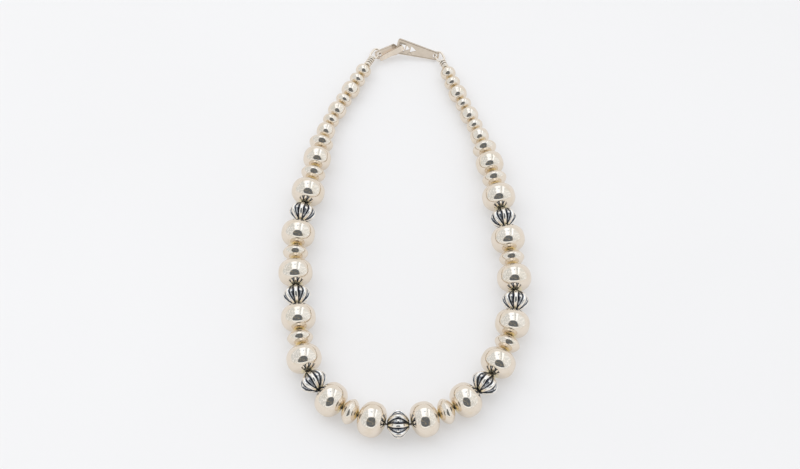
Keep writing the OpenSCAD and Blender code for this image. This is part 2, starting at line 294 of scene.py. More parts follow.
def polished_silver(name, metal, tarnish_and_painted_light_colours, roughness, waviness, metallic):
    """Hand-polished silver: warm tarnish in patches; where the mesh's attribute says, tarnish mixed with
    painted light, a painted gold reflection of the neighbouring beads near their bores that turns to
    painted shade at its core, and painted shade between the coil's turns; fine rub marks, soft waviness."""
    material, g, place, shader = new_material(name)
    patches = g.step(g.noise(place, 260, 3, 0.6), 0.42, 0.72)
    tarnish_and_painted_light = g.node("ShaderNodeAttribute", attribute_name="tarnish_and_painted_light").outputs["Fac"]
    # Tarnish with painted light, from the mesh's attribute and broken up by noise: low shares give the
    # painted gold reflection, high ones the dark painted shade
    tarnish_and_painted_light_share = g.math("MULTIPLY", tarnish_and_painted_light, g.step(g.noise(place, 900, 2, 0.5), 0.2, 0.6, 0.6, 1.0))
    film = g.mix(g.step(tarnish_and_painted_light_share, 0.0, 0.55), g.mix(patches, *metal), tarnish_and_painted_light_colours[0])
    g.plug(shader.inputs["Base Color"], g.mix(g.step(tarnish_and_painted_light_share, 0.80, 1.0), film, tarnish_and_painted_light_colours[1]))
    g.plug(shader.inputs["Metallic"], g.step(tarnish_and_painted_light_share, 0.0, 0.6, metallic, metallic - 0.25))
    cloud = g.noise(place, 900, 3, 0.6)
    g.plug(shader.inputs["Roughness"], g.step(cloud, 0.3, 0.75, *roughness))
    rubs = g.noise(g.scaled(place, (9000, 1300, 1300), (0.4, 0.7, 0.3)), 1, 2, 0.5)
    waves = g.noise(place, 420, 1, 0.4)
    fine = g.bump(rubs, 0.5, 0.0000012)
    g.plug(shader.inputs["Normal"], g.bump(waves, 1.0, waviness, fine))
    return material


def oxidised_silver(name):
    """Silver whose grooves keep a blue-black oxide, as the mesh's patina attribute says."""
    material, g, place, shader = new_material(name)
    patina = g.node("ShaderNodeAttribute", attribute_name="patina").outputs["Fac"]
    worn = g.math("MULTIPLY_ADD", g.noise(place, 420, 3, 0.65), 1.5, 0.15)
    dark = g.math("MULTIPLY", patina, worn, clamp=True)
    patches = g.step(g.noise(place, 500, 3, 0.6), 0.4, 0.7)
    metal = g.mix(patches, RIB_SILVER, RIB_WARM)
    filmed = g.mix(g.step(dark, 0.20, 0.48), metal, OXIDE_FILM)
    oxide = g.mix(g.step(g.noise(place, 1500, 2, 0.5), 0.35, 0.7), OXIDE, OXIDE_BLUE)
    g.plug(shader.inputs["Base Color"], g.mix(g.step(dark, 0.45, 0.70), filmed, oxide))
    shader.inputs["Metallic"].default_value = 1.0
    g.plug(shader.inputs["Roughness"], g.step(dark, 0.2, 0.8, 0.11, 0.27))
    pits = g.noise(place, 3000, 3, 0.6)
    g.plug(shader.inputs["Normal"], g.bump(pits, 0.6, 0.000012))
    return material


def plate_frame(swing, reach, shift):
    """Origin and unit vectors of a plate that swings in the clasp's plane."""
    turned_x = math.cos(swing) * CLASP_X + math.sin(swing) * CLASP_Y
    turned_y = math.cos(swing) * CLASP_Y - math.sin(swing) * CLASP_X
    pivot = CLASP_ORIGIN + reach * (math.cos(HOOK_SWING) * CLASP_X + math.sin(HOOK_SWING) * CLASP_Y)
    return pivot + shift[0] * turned_x + shift[1] * turned_y, turned_x, turned_y


def edge_lines(g, place, frame_of_plate, start, length, wide, narrow):
    """Places along and across a plate, and a line engraved just inside its long edges."""
    origin, turned_x, turned_y = frame_of_plate
    along = g.coordinate(place, origin, turned_x)
    across = g.coordinate(place, origin, turned_y)
    share = g.math("DIVIDE", g.math("SUBTRACT", along, start), length)
    half = g.math("MULTIPLY_ADD", share, (narrow - wide) / 2, wide / 2)
    inside = g.math("SUBTRACT", half, g.math("ABSOLUTE", across))
    return along, across, g.between(inside, 0.34 * MM, 0.56 * MM, 0.07 * MM)


def eye_marks(g, place):
    """Engraved lines and painted shade of the eye plate: its border, a small chevron beside the
    triangles, and a patch of painted shade over the slot."""
    frame_of_plate = plate_frame(EYE_SWING, HOOK_REACH, (-BAR_W, HOOK_DROP))
    along, across, line = edge_lines(g, place, frame_of_plate, 0, EYE_LEN, EYE_WIDE, PLATE_NARROW)
    slope = g.math("ABSOLUTE", g.math("SUBTRACT", along, CHEVRON_PLACE[0]))
    rise = g.math("MULTIPLY_ADD", slope, 0.8, across)
    chevron = g.between(rise, CHEVRON_PLACE[1] - 0.12 * MM, CHEVRON_PLACE[1] + 0.12 * MM, 0.05 * MM)
    chevron = g.math("MULTIPLY", chevron, g.step(slope, 1.2 * MM, 1.35 * MM, 0.6, 0.0))
    # Painted shade over the slot
    painted_shade = g.between(along, 0.9 * MM, 4.0 * MM, 0.5 * MM)
    painted_shade = g.math("MULTIPLY", painted_shade, g.between(across, 0.6 * MM, 2.2 * MM, 0.4 * MM))
    return g.math("MAXIMUM", line, chevron), painted_shade


def hook_marks(g, place):
    """Faint border line of the hook plate and a patch of painted shade in its far upper corner, next to
    the eye plate.
    """
    frame_of_plate = plate_frame(HOOK_SWING, 0, (0, 0))
    along, across, line = edge_lines(
        g, place, frame_of_plate, -HOLE_EDGE, HOOK_REACH + HOLE_EDGE, PLATE_NARROW, HOOK_WIDE)
    # Painted shade where the eye plate's end shades the hook plate
    painted_shade = g.between(along, 7.0 * MM, 9.6 * MM, 0.5 * MM)
    painted_shade = g.math("MULTIPLY", painted_shade, g.step(across, 0.2 * MM, 1.2 * MM))
    return g.math("MULTIPLY", line, 0.6), painted_shade


def plate_silver(name, marks, metal, metallic):
    """Sheet silver with a rubbed satin face: fine crossing scratches, dull warm film, and tarnish kept
    in the engraved lines.
    The cut edges take the lines' colour as painted shade, and the marks add patches of painted shade."""
    material, g, place, shader = new_material(name)
    film = g.step(g.noise(place, 420, 4, 0.65), 0.35, 0.75)
    base = g.mix(film, *metal)
    shader.inputs["Metallic"].default_value = metallic
    line, painted_shade = marks(g, place)
    flat = g.math("SUBTRACT", 1.0, g.node("ShaderNodeAttribute", attribute_name="folded").outputs["Fac"])
    line = g.math("MULTIPLY", line, flat)
    painted_shade = g.math("MULTIPLY", painted_shade, flat)
    rim = g.node("ShaderNodeAttribute", attribute_name="rim").outputs["Fac"]
    # Painted shade: the cut edges are painted dark in the lines' colour
    line = g.math("MAXIMUM", line, g.math("MULTIPLY", rim, 0.9))
    # The painted shade is mottled by noise
    painted_shade = g.math("MULTIPLY", painted_shade, g.step(g.noise(place, 700, 3, 0.6), 0.3, 0.6, 0.35, 0.9))
    g.plug(shader.inputs["Base Color"], g.mix(line, g.mix(painted_shade, base, PLATE_SHADE), PLATE_LINE_AND_EDGE_SHADE))
    g.plug(shader.inputs["Roughness"], g.step(film, 0.0, 1.0, 0.34, 0.46))
    lengthwise = g.noise(g.scaled(place, (900, 14000, 14000), (0.2, 0.0, 0.5)), 1, 2, 0.5)
    crosswise = g.noise(g.scaled(place, (12000, 1200, 12000), (0.0, 0.3, -0.4)), 1, 2, 0.5)
    first = g.bump(lengthwise, 0.5, 0.000004)
    second = g.bump(crosswise, 0.4, 0.000004, first)
    g.plug(shader.inputs["Normal"], g.bump(g.math("MULTIPLY", line, -1.0), 0.6, 0.00006, second))
    return material


def cable(name):
    """Twisted fine steel strands under a clear sleeve."""
    material, g, place, shader = new_material(name)
    twist = g.node("ShaderNodeTexWave", wave_type="BANDS", bands_direction="DIAGONAL")
    g.plug(twist.inputs["Vector"], place)
    twist.inputs["Scale"].default_value = 900
    strands = twist.outputs["Fac"]
    g.plug(shader.inputs["Base Color"], g.mix(strands, (0.08, 0.075, 0.07, 1), CABLE_GREY))
    shader.inputs["Metallic"].default_value = 1.0
    g.plug(shader.inputs["Roughness"], g.step(g.noise(place, 2000), 0.3, 0.7, 0.25, 0.4))
    g.plug(shader.inputs["Normal"], g.bump(strands, 0.8, 0.00008))
    return material


def paper(name):
    """White sweep paper with a hint of tooth."""
    material, g, place, shader = new_material(name)
    tooth = g.noise(place, 900, 3, 0.6)
    tint = g.step(g.noise(place, 6, 2, 0.5), 0.3, 0.7)
    g.plug(shader.inputs["Base Color"], g.mix(tint, PAPER, PAPER_SHADE))
    shader.inputs["Roughness"].default_value = 0.9
    shader.inputs["Specular IOR Level"].default_value = 0.1
    # Painted light: the paper glows, lifting and warming the shadows cast on it
    shader.inputs["Emission Color"].default_value = GLOW_WARM
    shader.inputs["Emission Strength"].default_value = PAPER_GLOW
    g.plug(shader.inputs["Normal"], g.bump(tooth, 0.2, 0.00002))
    return material


def faces_of(node):
    """Points and triangles of a frame node, in metres."""
    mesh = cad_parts[node].data
    mesh.calc_loop_triangles()
    points = np.zeros(len(mesh.vertices) * 3)
    mesh.vertices.foreach_get("co", points)
    corners = np.zeros(len(mesh.loop_triangles) * 3, dtype=np.int32)
    mesh.loop_triangles.foreach_get("vertices", corners)
    return points.reshape(-1, 3), corners.reshape(-1, 3)


def loose_solids(node):
    """The loose solids of a node in the order of their vertices, each as its own points
    and triangles."""
    work = bmesh.new()
    work.from_mesh(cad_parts[node].data)
    bmesh.ops.remove_doubles(work, verts=work.verts, dist=1e-7)
    bmesh.ops.triangulate(work, faces=work.faces)
    work.verts.index_update()
    seen = set()
    solids = []
    for start in work.verts:
        if start.index in seen:
            continue
        seen.add(start.index)
        island = [start]
        # The list grows while it is walked, until every vertex it reaches is in it
        for vertex in island:
            for edge in vertex.link_edges:
                other = edge.other_vert(vertex)
                if other.index not in seen:
                    seen.add(other.index)
                    island.append(other)
        order = {v.index: i for i, v in enumerate(island)}
        points = np.array([v.co for v in island])
        corners = np.array([[order[v.index] for v in f.verts]
                            for f in work.faces if f.verts[0].index in order])
        solids.append((points, corners))
    work.free()
    return solids


def turned_frame(points, corners):
    """Middle, axis, length and diameter of a turned solid, read from its surface."""
    a, b, c = (points[corners[:, k]] for k in range(3))
    facing = np.cross(b - a, c - a)
    area = np.linalg.norm(facing, axis=1)
    facing = facing[area > 0]
    area = area[area > 0]
    spread = (facing[:, :, None] * facing[:, None, :] / area[:, None, None]).sum(0)
    values, vectors = np.linalg.eigh(spread)
    apart = [abs(values[1] - values[2]), abs(values[0] - values[2]), abs(values[0] - values[1])]
    axis = vectors[:, int(np.argmin(apart))]
    if axis[1] < 0:
        axis = -axis
    middle = (points.min(0) + points.max(0)) / 2
    away = points - middle
    along = away @ axis
    radial = np.linalg.norm(away - np.outer(along, axis), axis=1)
    return middle, axis, along.max() - along.min(), 2 * radial.max()


def rib_turn(points, middle, axis, across, upright):
    """Angle of the nearest rib crest of a fluted solid, from its equator's radii."""
    away = points - middle
    along = away @ axis
    near = np.abs(along) < RIB_BAND
    x = away[near] @ across
    y = away[near] @ upright
    radius = np.hypot(x, y)
    outer = radius > RIB_LEAST_R
    angle = np.arctan2(y[outer], x[outer])
    weight = (radius[outer] - radius[outer].min()) ** 2
    phase = np.sum(weight * np.exp(1j * RIB_COUNT * angle))
    return np.angle(phase) / RIB_COUNT


def square_vectors(axis):
    """Two unit vectors square to the axis, the first level, the second as upright as it
    can be."""
    across = np.cross(axis, (0.0, 0.0, 1.0))
    across /= np.linalg.norm(across)
    return across, np.cross(across, axis)


def spoke(angle, across, upright):
    """Unit vector at an angle round a bead's axis."""
    return math.cos(angle) * across + math.sin(angle) * upright


def ring_faces(rings, count, closed):
    """Quads between rings of count points; closed joins the last ring to the first."""
    faces = []
    for k in range(rings if closed else rings - 1):
        first = k * count
        second = ((k + 1) % rings) * count
        for j in range(count):
            n = (j + 1) % count
            faces.append((first + j, first + n, second + n, second + j))
    return faces


def mesh_piece(name, points, faces, material, node):
    """A smooth mesh object in the row frame that rides on the body in a node's place."""
    mesh = bpy.data.meshes.new(name)
    mesh.from_pydata([tuple(p) for p in points], [], faces)
    mesh.materials.append(material)
    mesh.shade_smooth()
    work = bmesh.new()
    work.from_mesh(mesh)
    bmesh.ops.recalc_face_normals(work, faces=work.faces)
    work.to_mesh(mesh)
    work.free()
    piece = bpy.data.objects.new(name, mesh)
    bpy.context.scene.collection.objects.link(piece)
    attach(piece, BODY)
    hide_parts(node)
    return piece


def store(piece, name, values):
    """A number per point, for a material to read."""
    layer = piece.data.attributes.new(name, "FLOAT", "POINT")
    layer.data.foreach_set("value", np.array(values, dtype=np.float32))


def smooth_step(value, low, high):
    t = min(1.0, max(0.0, (value - low) / (high - low)))
    return t * t * (3 - 2 * t)


def plain_profile(length, diameter, powers, steps):
    """Half section of a bead as (place along, radius): outside, lips and bore."""
    r = diameter / 2
    h = length / 2
    lengthwise, crosswise = powers
    edge = math.asin(((HOLE_R + LIP) / r) ** (crosswise / 2))
    outside = []
    for k in range(steps + 1):
        t = edge + (math.pi - 2 * edge) * k / steps
        c = math.cos(t)
        along = math.copysign(abs(c) ** (2 / lengthwise), c)
        outside.append((-h * along, r * math.sin(t) ** (2 / crosswise)))
    lip = h * math.cos(edge) ** (2 / lengthwise)
    inside = [
        (lip + 0.02 * MM, HOLE_R + 0.09 * MM),
        (lip - 0.02 * MM, HOLE_R + 0.02 * MM),
        (lip - 0.12 * MM, HOLE_R),
        (lip - 1.0 * MM, HOLE_R),
        (0.0, HOLE_R),
    ]
    mirrored = [(-u, v) for u, v in reversed(inside[:-1])]
    return outside + inside + mirrored


def plain_bead(points, corners, kind, seed):
    """Points, faces and tarnish of one respun bead."""
    middle, axis, length, diameter = turned_frame(points, corners)
    across, upright = square_vectors(axis)
    if kind == "small":
        kind = "round" if diameter > ROUND_LEAST_D else "slim"
    count, steps = LARGE_GRID if diameter > LARGE_LEAST_D else BEAD_GRID
    profile = plain_profile(length, diameter, OUTLINE_POWERS[kind], steps)
    made, tarnish_and_painted_light = [], []
    for along, radius in profile:
        share = radius / (diameter / 2)
        # Full at the bore, where tarnish and painted shade sit, fading out through the painted gold
        # reflection of the neighbours
        tarnish_and_painted_light += [1 - smooth_step(share, TARNISH_AND_PAINTED_LIGHT_INNER, TARNISH_AND_PAINTED_LIGHT_OUTER)] * count
        for j in range(count):
            angle = 2 * math.pi * j / count
            place = along * axis + radius * spoke(angle, across, upright)
            if radius > HOLE_R + LIP:
                key = Vector(place) / DENT_SIZE + Vector((seed * 7.3, seed * 3.1, seed))
                dent = DENT * (0.5 + 0.5 * noise.noise(key)) * min(1, radius / (4 * MM))
                place = place * (1 - dent / np.linalg.norm(place))
            made.append(middle + place)
    return made, ring_faces(len(profile), count, True), tarnish_and_painted_light


def build_plain_beads(material):
    seed = 1
    for node in sorted(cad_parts):
        kind = node.split("_")[0]
        if kind in ("large", "saucer", "medium"):
            points, faces, tarnish_and_painted_light = plain_bead(*faces_of(node), kind, seed)
            piece = mesh_piece("bead_" + node, points, faces, material, node)
            store(piece, "tarnish_and_painted_light", tarnish_and_painted_light)
            seed += 1
    for node in ("small_beads_left", "small_beads_right"):
        points, faces, tarnish_and_painted_light = [], [], []
        for solid in loose_solids(node):
            more, more_faces, more_tarnish_and_painted_light = plain_bead(*solid, "small", seed)
            faces += [tuple(i + len(points) for i in f) for f in more_faces]
            points += more
            tarnish_and_painted_light += more_tarnish_and_painted_light
            seed += 1
        piece = mesh_piece("beads_" + node, points, faces, material, node)
        store(piece, "tarnish_and_painted_light", tarnish_and_painted_light)


def flute_shape(u, swing):
    """Depth share and patina at a place u (-1 to 1) along the bead and an angle
    swing (0 on a rib, 1 in the middle between two ribs)."""
    end = abs(u)
    rib_half = 0.29 + 0.26 * end
    crown = min(1.0, swing / rib_half)
    crown_drop = 0.18 * crown ** 2
    wall = smooth_step(swing, rib_half * 0.78, rib_half + 0.12)
    panel = smooth_step(swing, rib_half + 0.10, 0.95)
    diamond = max(0.0, 1 - end / 0.5)
    panel_rise = panel * (0.20 + 0.42 * diamond)
    share = crown_drop * (1 - wall) + wall * (1.0 - panel_rise)
    groove = wall * (1 - panel ** 2)
    notch = max(0.0, 1 - abs(end - 0.5 + 0.35 * panel) / 0.07) * wall
    poles = wall * smooth_step(end, 0.50, 0.80)
    patina = max(groove, poles, 0.8 * notch, 0.60 * wall - 0.38 * panel * diamond)
    return share, patina


def flute_depth_at(u):
    """Depth of the grooves along the bead, shallower at its ends."""
    end = abs(u)
    body = 1 - smooth_step(end, 0.62, 1.0) * (1 - FLUTE_END_SHARE)
    return FLUTE_DEPTH * body * (0.80 + 0.20 * smooth_step(end, 0.0, 0.3))


def build_fluted_bead(node, material):
    points, corners = faces_of(node)
    middle, axis, length, diameter = turned_frame(points, corners)
    across, upright = square_vectors(axis)
    turn = rib_turn(points, middle, axis, across, upright)
    count, steps = FLUTED_GRID
    crest = diameter / 2
    half = length / 2
    made, patina = [], []
    for k in range(steps + 1):
        u = -math.cos(math.pi * k / steps)
        top = POLE_R + (crest * CREST_SHARE - POLE_R) * (1 - abs(u) ** CREST_POWER)
        depth = flute_depth_at(u)
        for j in range(count):
            angle = turn + 2 * math.pi * j / count
            period = (j * RIB_COUNT / count) % 1.0
            swing = 2 * min(period, 1 - period)
            share, dark = flute_shape(u, swing)
            radius = max(HOLE_R + 0.06 * MM, top - depth * share)
            made.append(middle + u * half * axis + radius * spoke(angle, across, upright))
            patina.append(max(dark, smooth_step(abs(u), 0.90, 0.97)))
    for along in (half - 0.1 * MM, half - 1.2 * MM, 1.2 * MM - half, 0.1 * MM - half):
        for j in range(count):
            angle = turn + 2 * math.pi * j / count
            made.append(middle + along * axis + HOLE_R * spoke(angle, across, upright))
            patina.append(1.0)
    faces = ring_faces(steps + 5, count, True)
    piece = mesh_piece("bead_" + node, made, faces, material, node)
    store(piece, "patina", patina)
    return piece


def tube(path, radius, closed=False):
    """Points and faces of a round wire along a path, its twist kept small."""
    count = len(path)
    points = []
    normal = None
    for k, place in enumerate(path):
        before = path[(k - 1) % count] if closed else path[max(k - 1, 0)]
        after = path[(k + 1) % count] if closed else path[min(k + 1, count - 1)]
        ahead = (after - before).normalized()
        if normal is None:
            normal = ahead.orthogonal().normalized()
        normal = (normal - ahead * normal.dot(ahead)).normalized()
        other = ahead.cross(normal)
        for j in range(WIRE_SIDES):
            a = 2 * math.pi * j / WIRE_SIDES
            points.append(place + radius * (math.cos(a) * normal + math.sin(a) * other))
    return points, ring_faces(count, WIRE_SIDES, closed)


def cap_ends(points, faces):
    """Pointed caps, smoothed, on the two ends of a tube."""
    rings = len(points) // WIRE_SIDES
    for end, inner in ((0, 1), (rings - 1, rings - 2)):
        first = end * WIRE_SIDES
        ring = points[first:first + WIRE_SIDES]
        middle = sum(ring, Vector()) / WIRE_SIDES
        before = points[inner * WIRE_SIDES:(inner + 1) * WIRE_SIDES]
        base = sum(before, Vector()) / WIRE_SIDES
        out = (middle - base).normalized() * ((ring[0] - middle).length * 0.45)
        tip = len(points)
        points.append(middle + out)
        for j in range(WIRE_SIDES):
            faces.append((first + j, first + (j + 1) % WIRE_SIDES, tip))


def loop_path(start, axis, side):
    """Closed oval of wire from the coil's end, in the loop's plane."""
    r = LOOP_W / 2
    straight = LOOP_LEN - LOOP_W
    path = []
    steps = 26
    for k in range(steps + 1):
        a = -math.pi / 2 + math.pi * k / steps
        path.append(start + axis * (r + straight + r * math.cos(a)) + side * (r * math.sin(a)))
    for k in range(steps + 1):
        a = math.pi / 2 + math.pi * k / steps
        path.append(start + axis * (r + r * math.cos(a)) + side * (r * math.sin(a)))
    return path


def coil_path(start, axis, side, turns, length):
    """Helix of tightly wrapped wire along the axis, its first turn closed."""
    third = axis.cross(side)
    steps = 40
    pitch = (length - COIL_WIRE_D) / (turns - 1)
    rounds = turns + COIL_OVERRUN
    path = []
    for k in range(int(rounds * steps) + 1):
        a = 2 * math.pi * k / steps
        along = COIL_WIRE_D / 2 + pitch * min(max(k / steps - 1, 0), turns - 1)
        path.append(start + axis * along + COIL_R * (math.cos(a) * side + math.sin(a) * third))
    return path


def build_wire_end(node, material):
    end = WIRE_ENDS[node]
    axis = end["axis"].normalized()
    side = end["side"].normalized()
    coil_len = end["coil_len"]
    coil = coil_path(end["start"], axis, side, end["turns"], coil_len)
    points, faces = tube(coil, COIL_WIRE_D / 2)
    tarnish_and_painted_light = []
    for k, place in enumerate(points):
        out = (place - coil[k // WIRE_SIDES]).normalized()
        along = (place - end["start"]).dot(axis)
        between = min(along, coil_len - along) > COIL_END_UNSHADED
        # Painted shade where a turn faces its neighbours along the axis, left off the coil's two ends
        tarnish_and_painted_light.append(smooth_step(abs(out.dot(axis)), 0.62, 0.88) if between else 0.0)
    cap_ends(points, faces)
    tarnish_and_painted_light += [0.0] * (len(points) - len(tarnish_and_painted_light))
    loop_points, loop_faces = tube(loop_path(end["start"] + axis * coil_len, axis, side),
                                   WIRE_D / 2, closed=True)
    faces += [tuple(i + len(points) for i in f) for f in loop_faces]
    points += loop_points
    tarnish_and_painted_light += [0.0] * len(loop_points)
    piece = mesh_piece("wrapped_" + node, points, faces, material, node)
    store(piece, "tarnish_and_painted_light", tarnish_and_painted_light)
    return piece


def corner(x, y, r, start, end):
    """Points of a rounded corner between two angles in degrees."""
    angles = [math.radians(start + (end - start) * k / 6) for k in range(7)]
    return [(x + r * math.cos(a), y + r * math.sin(a)) for a in angles]


def wire_hole(x):
    angles = [2 * math.pi * k / 40 for k in range(40)]
    return [(x + WIRE_HOLE_D / 2 * math.cos(a), WIRE_HOLE_D / 2 * math.sin(a)) for a in angles]


def eye_outlines():
    """Rim, slot, triangles and wire hole of the eye plate, along x from its wide end."""
    wide = EYE_WIDE / 2 - CORNER_R
    narrow = PLATE_NARROW / 2 - CORNER_R
    far = EYE_LEN - CORNER_R
    rim = corner(CORNER_R, wide, CORNER_R, 98, 180) + corner(CORNER_R, -wide, CORNER_R, 180, 262)
    rim += corner(far, -narrow, CORNER_R, 278, 360) + corner(far, narrow, CORNER_R, 0, 82)
    ends = (BAR_W, BAR_W + SLOT_LEN)
    low, high = SLOT_LOW, SLOT_LOW + SLOT_W
    slot = [(ends[0], low), (ends[1], low), (ends[1], high), (ends[0], high)]
    triangles = [[(x, -h / 2), (x + l, 0.0), (x, h / 2)] for x, l, h in EYE_TRIANGLES]
    return [rim, slot, *triangles, wire_hole(EYE_LEN - HOLE_EDGE)]


def hook_outlines():
    """Rim and wire hole of the hook's base, whose neck ends where the tongue bends."""
    near = CORNER_R - HOLE_EDGE
    narrow = PLATE_NARROW / 2 - CORNER_R
    wide = HOOK_WIDE / 2
    shoulder = BEND_PLACE - 1.4 * MM
    neck = TONGUE_W / 2
    sine, cosine = math.sin(TONGUE_SKEW), math.cos(TONGUE_SKEW)
    rim = corner(near, narrow, CORNER_R, 98, 180) + corner(near, -narrow, CORNER_R, 180, 262)
    rim += [(shoulder - MM, -wide), (shoulder, CORNER_R - wide), (shoulder, -neck)]
    rim += [(BEND_PLACE + neck * sine, -neck * cosine), (BEND_PLACE - neck * sine, neck * cosine)]
    rim += [(shoulder, neck), (shoulder, wide - CORNER_R), (shoulder - MM, wide)]
    return [rim, wire_hole(0.0)]


def sheet_mesh(outlines):
    """Points and faces of a flat sheet about z = 0 with a rim and holes, its arrises
    rounded as by a file."""
    curve = bpy.data.curves.new("sheet", "CURVE")
    curve.dimensions = "2D"
    curve.fill_mode = "BOTH"
    curve.extrude = (SHEET / 2 - EDGE_ROUND) / MM
    curve.bevel_depth = EDGE_ROUND / MM
    curve.bevel_resolution = 2
    curve.offset = -EDGE_ROUND / MM
    for outline in outlines:
        spline = curve.splines.new("POLY")
        spline.points.add(len(outline) - 1)
        for point, (x, y) in zip(spline.points, outline):
            point.co = (x / MM, y / MM, 0, 1)
        spline.use_cyclic_u = True
    holder = bpy.data.objects.new("sheet", curve)
    mesh = bpy.data.meshes.new_from_object(holder)
    work = bmesh.new()
    work.from_mesh(mesh)
    bmesh.ops.remove_doubles(work, verts=work.verts, dist=0.002)
    work.verts.index_update()
    points = [np.array(v.co) * MM for v in work.verts]
    faces = [tuple(v.index for v in f.verts) for f in work.faces]
    work.free()
    bpy.data.objects.remove(holder)
    bpy.data.curves.remove(curve)
    bpy.data.meshes.remove(mesh)
    return points, faces


def tongue_line():
    """Middle line of the folded tongue as (x, z, width) in its own frame: round the
    bend, then back over the base with a soft dip."""
    r = (HOOK_MOUTH + SHEET) / 2
    line = [(-0.25 * MM, 0.0, TONGUE_W)]
    line += [(r * math.sin(a), r - r * math.cos(a), TONGUE_W)
             for a in (math.pi * k / 24 for k in range(25))]
    for k in range(1, 49):
        back = TONGUE_LEN * (1 - (1 - k / 48) ** 1.4)
        dip = math.sin(math.pi * min(1.0, max(0.0, (back - DIP_START) / DIP_LEN))) ** 2
        width = TONGUE_W + (TONGUE_END_W - TONGUE_W) * back / TONGUE_LEN
        round_off = max(0.0, (back - TONGUE_LEN) / (TONGUE_END_W / 2) + 1)
        width *= math.sqrt(1 - min(0.97, round_off) ** 2)
        line.append((-back, 2 * r - TONGUE_DIP * dip, width))
    return line


def strip_mesh(line):
    """Points, faces and rim shares of a strip of sheet with rounded arrises along a
    line of (x, z, width)."""
    points, rim = [], []
    thick = SHEET / 2 - 0.01 * MM - EDGE_ROUND
    places = np.array([(x, 0.0, z) for x, z, width in line])
    for k, (x, z, width) in enumerate(line):
        ahead = places[min(k + 1, len(line) - 1)] - places[max(k - 1, 0)]
        ahead /= np.linalg.norm(ahead)
        up = np.cross(ahead, (0.0, 1.0, 0.0))
        half = max(width / 2 - EDGE_ROUND, 0.01 * MM)
        for quarter, (side, top) in enumerate(((1, 1), (-1, 1), (-1, -1), (1, -1))):
            for j in range(4):
                a = math.pi / 2 * quarter + math.pi / 6 * j
                y = side * half + EDGE_ROUND * math.cos(a)
                z_out = top * thick + EDGE_ROUND * math.sin(a)
                points.append(places[k] + y * np.array((0.0, 1.0, 0.0)) + z_out * up)
                rim.append(smooth_step(abs(math.cos(a)), 0.2, 0.8))
    faces = ring_faces(len(line), 16, False)
    faces.append(tuple(range(16)))
    faces.append(tuple(range(len(points) - 16, len(points))))
    return points, faces, rim


def rim_shares(points):
    """1 on the cut edges of a sheet about z = 0, 0 on its two faces."""
    return [1 - smooth_step(abs(p[2]), SHEET / 2 - EDGE_ROUND, SHEET / 2) for p in points]


def weigh_normals(mesh):
    """Vertex normals by face area, so that flat faces stay flat up to their arris."""
    normals = np.zeros((len(mesh.vertices), 3))
    for face in mesh.polygons:
        push = np.array(face.normal) * (face.area / MM ** 2)
        for i in face.vertices:
            normals[i] += push
    lengths = np.maximum(np.linalg.norm(normals, axis=1, keepdims=True), 1e-9)
    mesh.normals_split_custom_set_from_vertices((normals / lengths).tolist())


def build_plate(node, material):
    """A plate of hand-cut sheet with filed arrises; the hook's has its folded tongue."""
    if node == "eye_plate":
        points, faces = sheet_mesh(eye_outlines())
        rim = rim_shares(points)
        base_count = len(points)
        origin, x_axis, y_axis = plate_frame(EYE_SWING, HOOK_REACH, (-BAR_W, HOOK_DROP))
        z_axis = np.cross(x_axis, y_axis)
    else:
        points, faces = sheet_mesh(hook_outlines())
        rim = rim_shares(points)
        base_count = len(points)
        strip, strip_faces, strip_rim = strip_mesh(tongue_line())
        sine, cosine = math.sin(TONGUE_SKEW), math.cos(TONGUE_SKEW)
        faces += [tuple(i + len(points) for i in f) for f in strip_faces]
        points += [np.array((BEND_PLACE + cosine * x - sine * y, sine * x + cosine * y, z))
                   for x, y, z in strip]
        rim += strip_rim
        origin, flat_x, y_axis = plate_frame(HOOK_SWING, 0, (0, 0))
        upright = np.cross(flat_x, y_axis)
        x_axis = math.cos(HOOK_TIP) * flat_x - math.sin(HOOK_TIP) * upright
        z_axis = math.sin(HOOK_TIP) * flat_x + math.cos(HOOK_TIP) * upright
    made = [origin + p[0] * x_axis + p[1] * y_axis + p[2] * z_axis for p in points]
    piece = mesh_piece("sheet_" + node, made, faces, material, node)
    weigh_normals(piece.data)
    store(piece, "rim", rim)
    store(piece, "folded", [float(i >= base_count) for i in range(len(points))])
    return piece


def build_floor(material):
    """The flat paper that the necklace lies on."""
    mesh = bpy.data.meshes.new("sweep")
    side = 3.0
    corners = [(-side, -side, 0), (side, -side, 0), (side, side, 0), (-side, side, 0)]
    mesh.from_pydata(corners, [], [(0, 1, 2, 3)])
    mesh.materials.append(material)
    floor = bpy.data.objects.new("sweep", mesh)
    bpy.context.scene.collection.objects.link(floor)


def build_backdrop(material):
    """A round paper wall behind the sweep, for low views; it casts and mirrors nothing."""
    count, radius, height = 96, 2.9, 3.0
    points = [(radius * math.cos(2 * math.pi * k / count), radius * math.sin(2 * math.pi * k / count), z)
              for z in (0.0, height) for k in range(count)]
    mesh = bpy.data.meshes.new("backdrop")
    mesh.from_pydata(points, [], ring_faces(2, count, False))
    mesh.shade_smooth()
    mesh.materials.append(material)
    wall = bpy.data.objects.new("backdrop", mesh)
    bpy.context.scene.collection.objects.link(wall)
    wall.visible_diffuse = False
    wall.visible_glossy = False
    wall.visible_transmission = False
    wall.visible_shadow = False


def facing(g, direction, vector):
    """Cosine of the angle between the looked-at direction and a unit vector."""
    made = g.node("ShaderNodeVectorMath", operation="DOT_PRODUCT")
    g.plug(made.inputs[0], direction)
    made.inputs[1].default_value = vector
    return made.outputs["Value"]


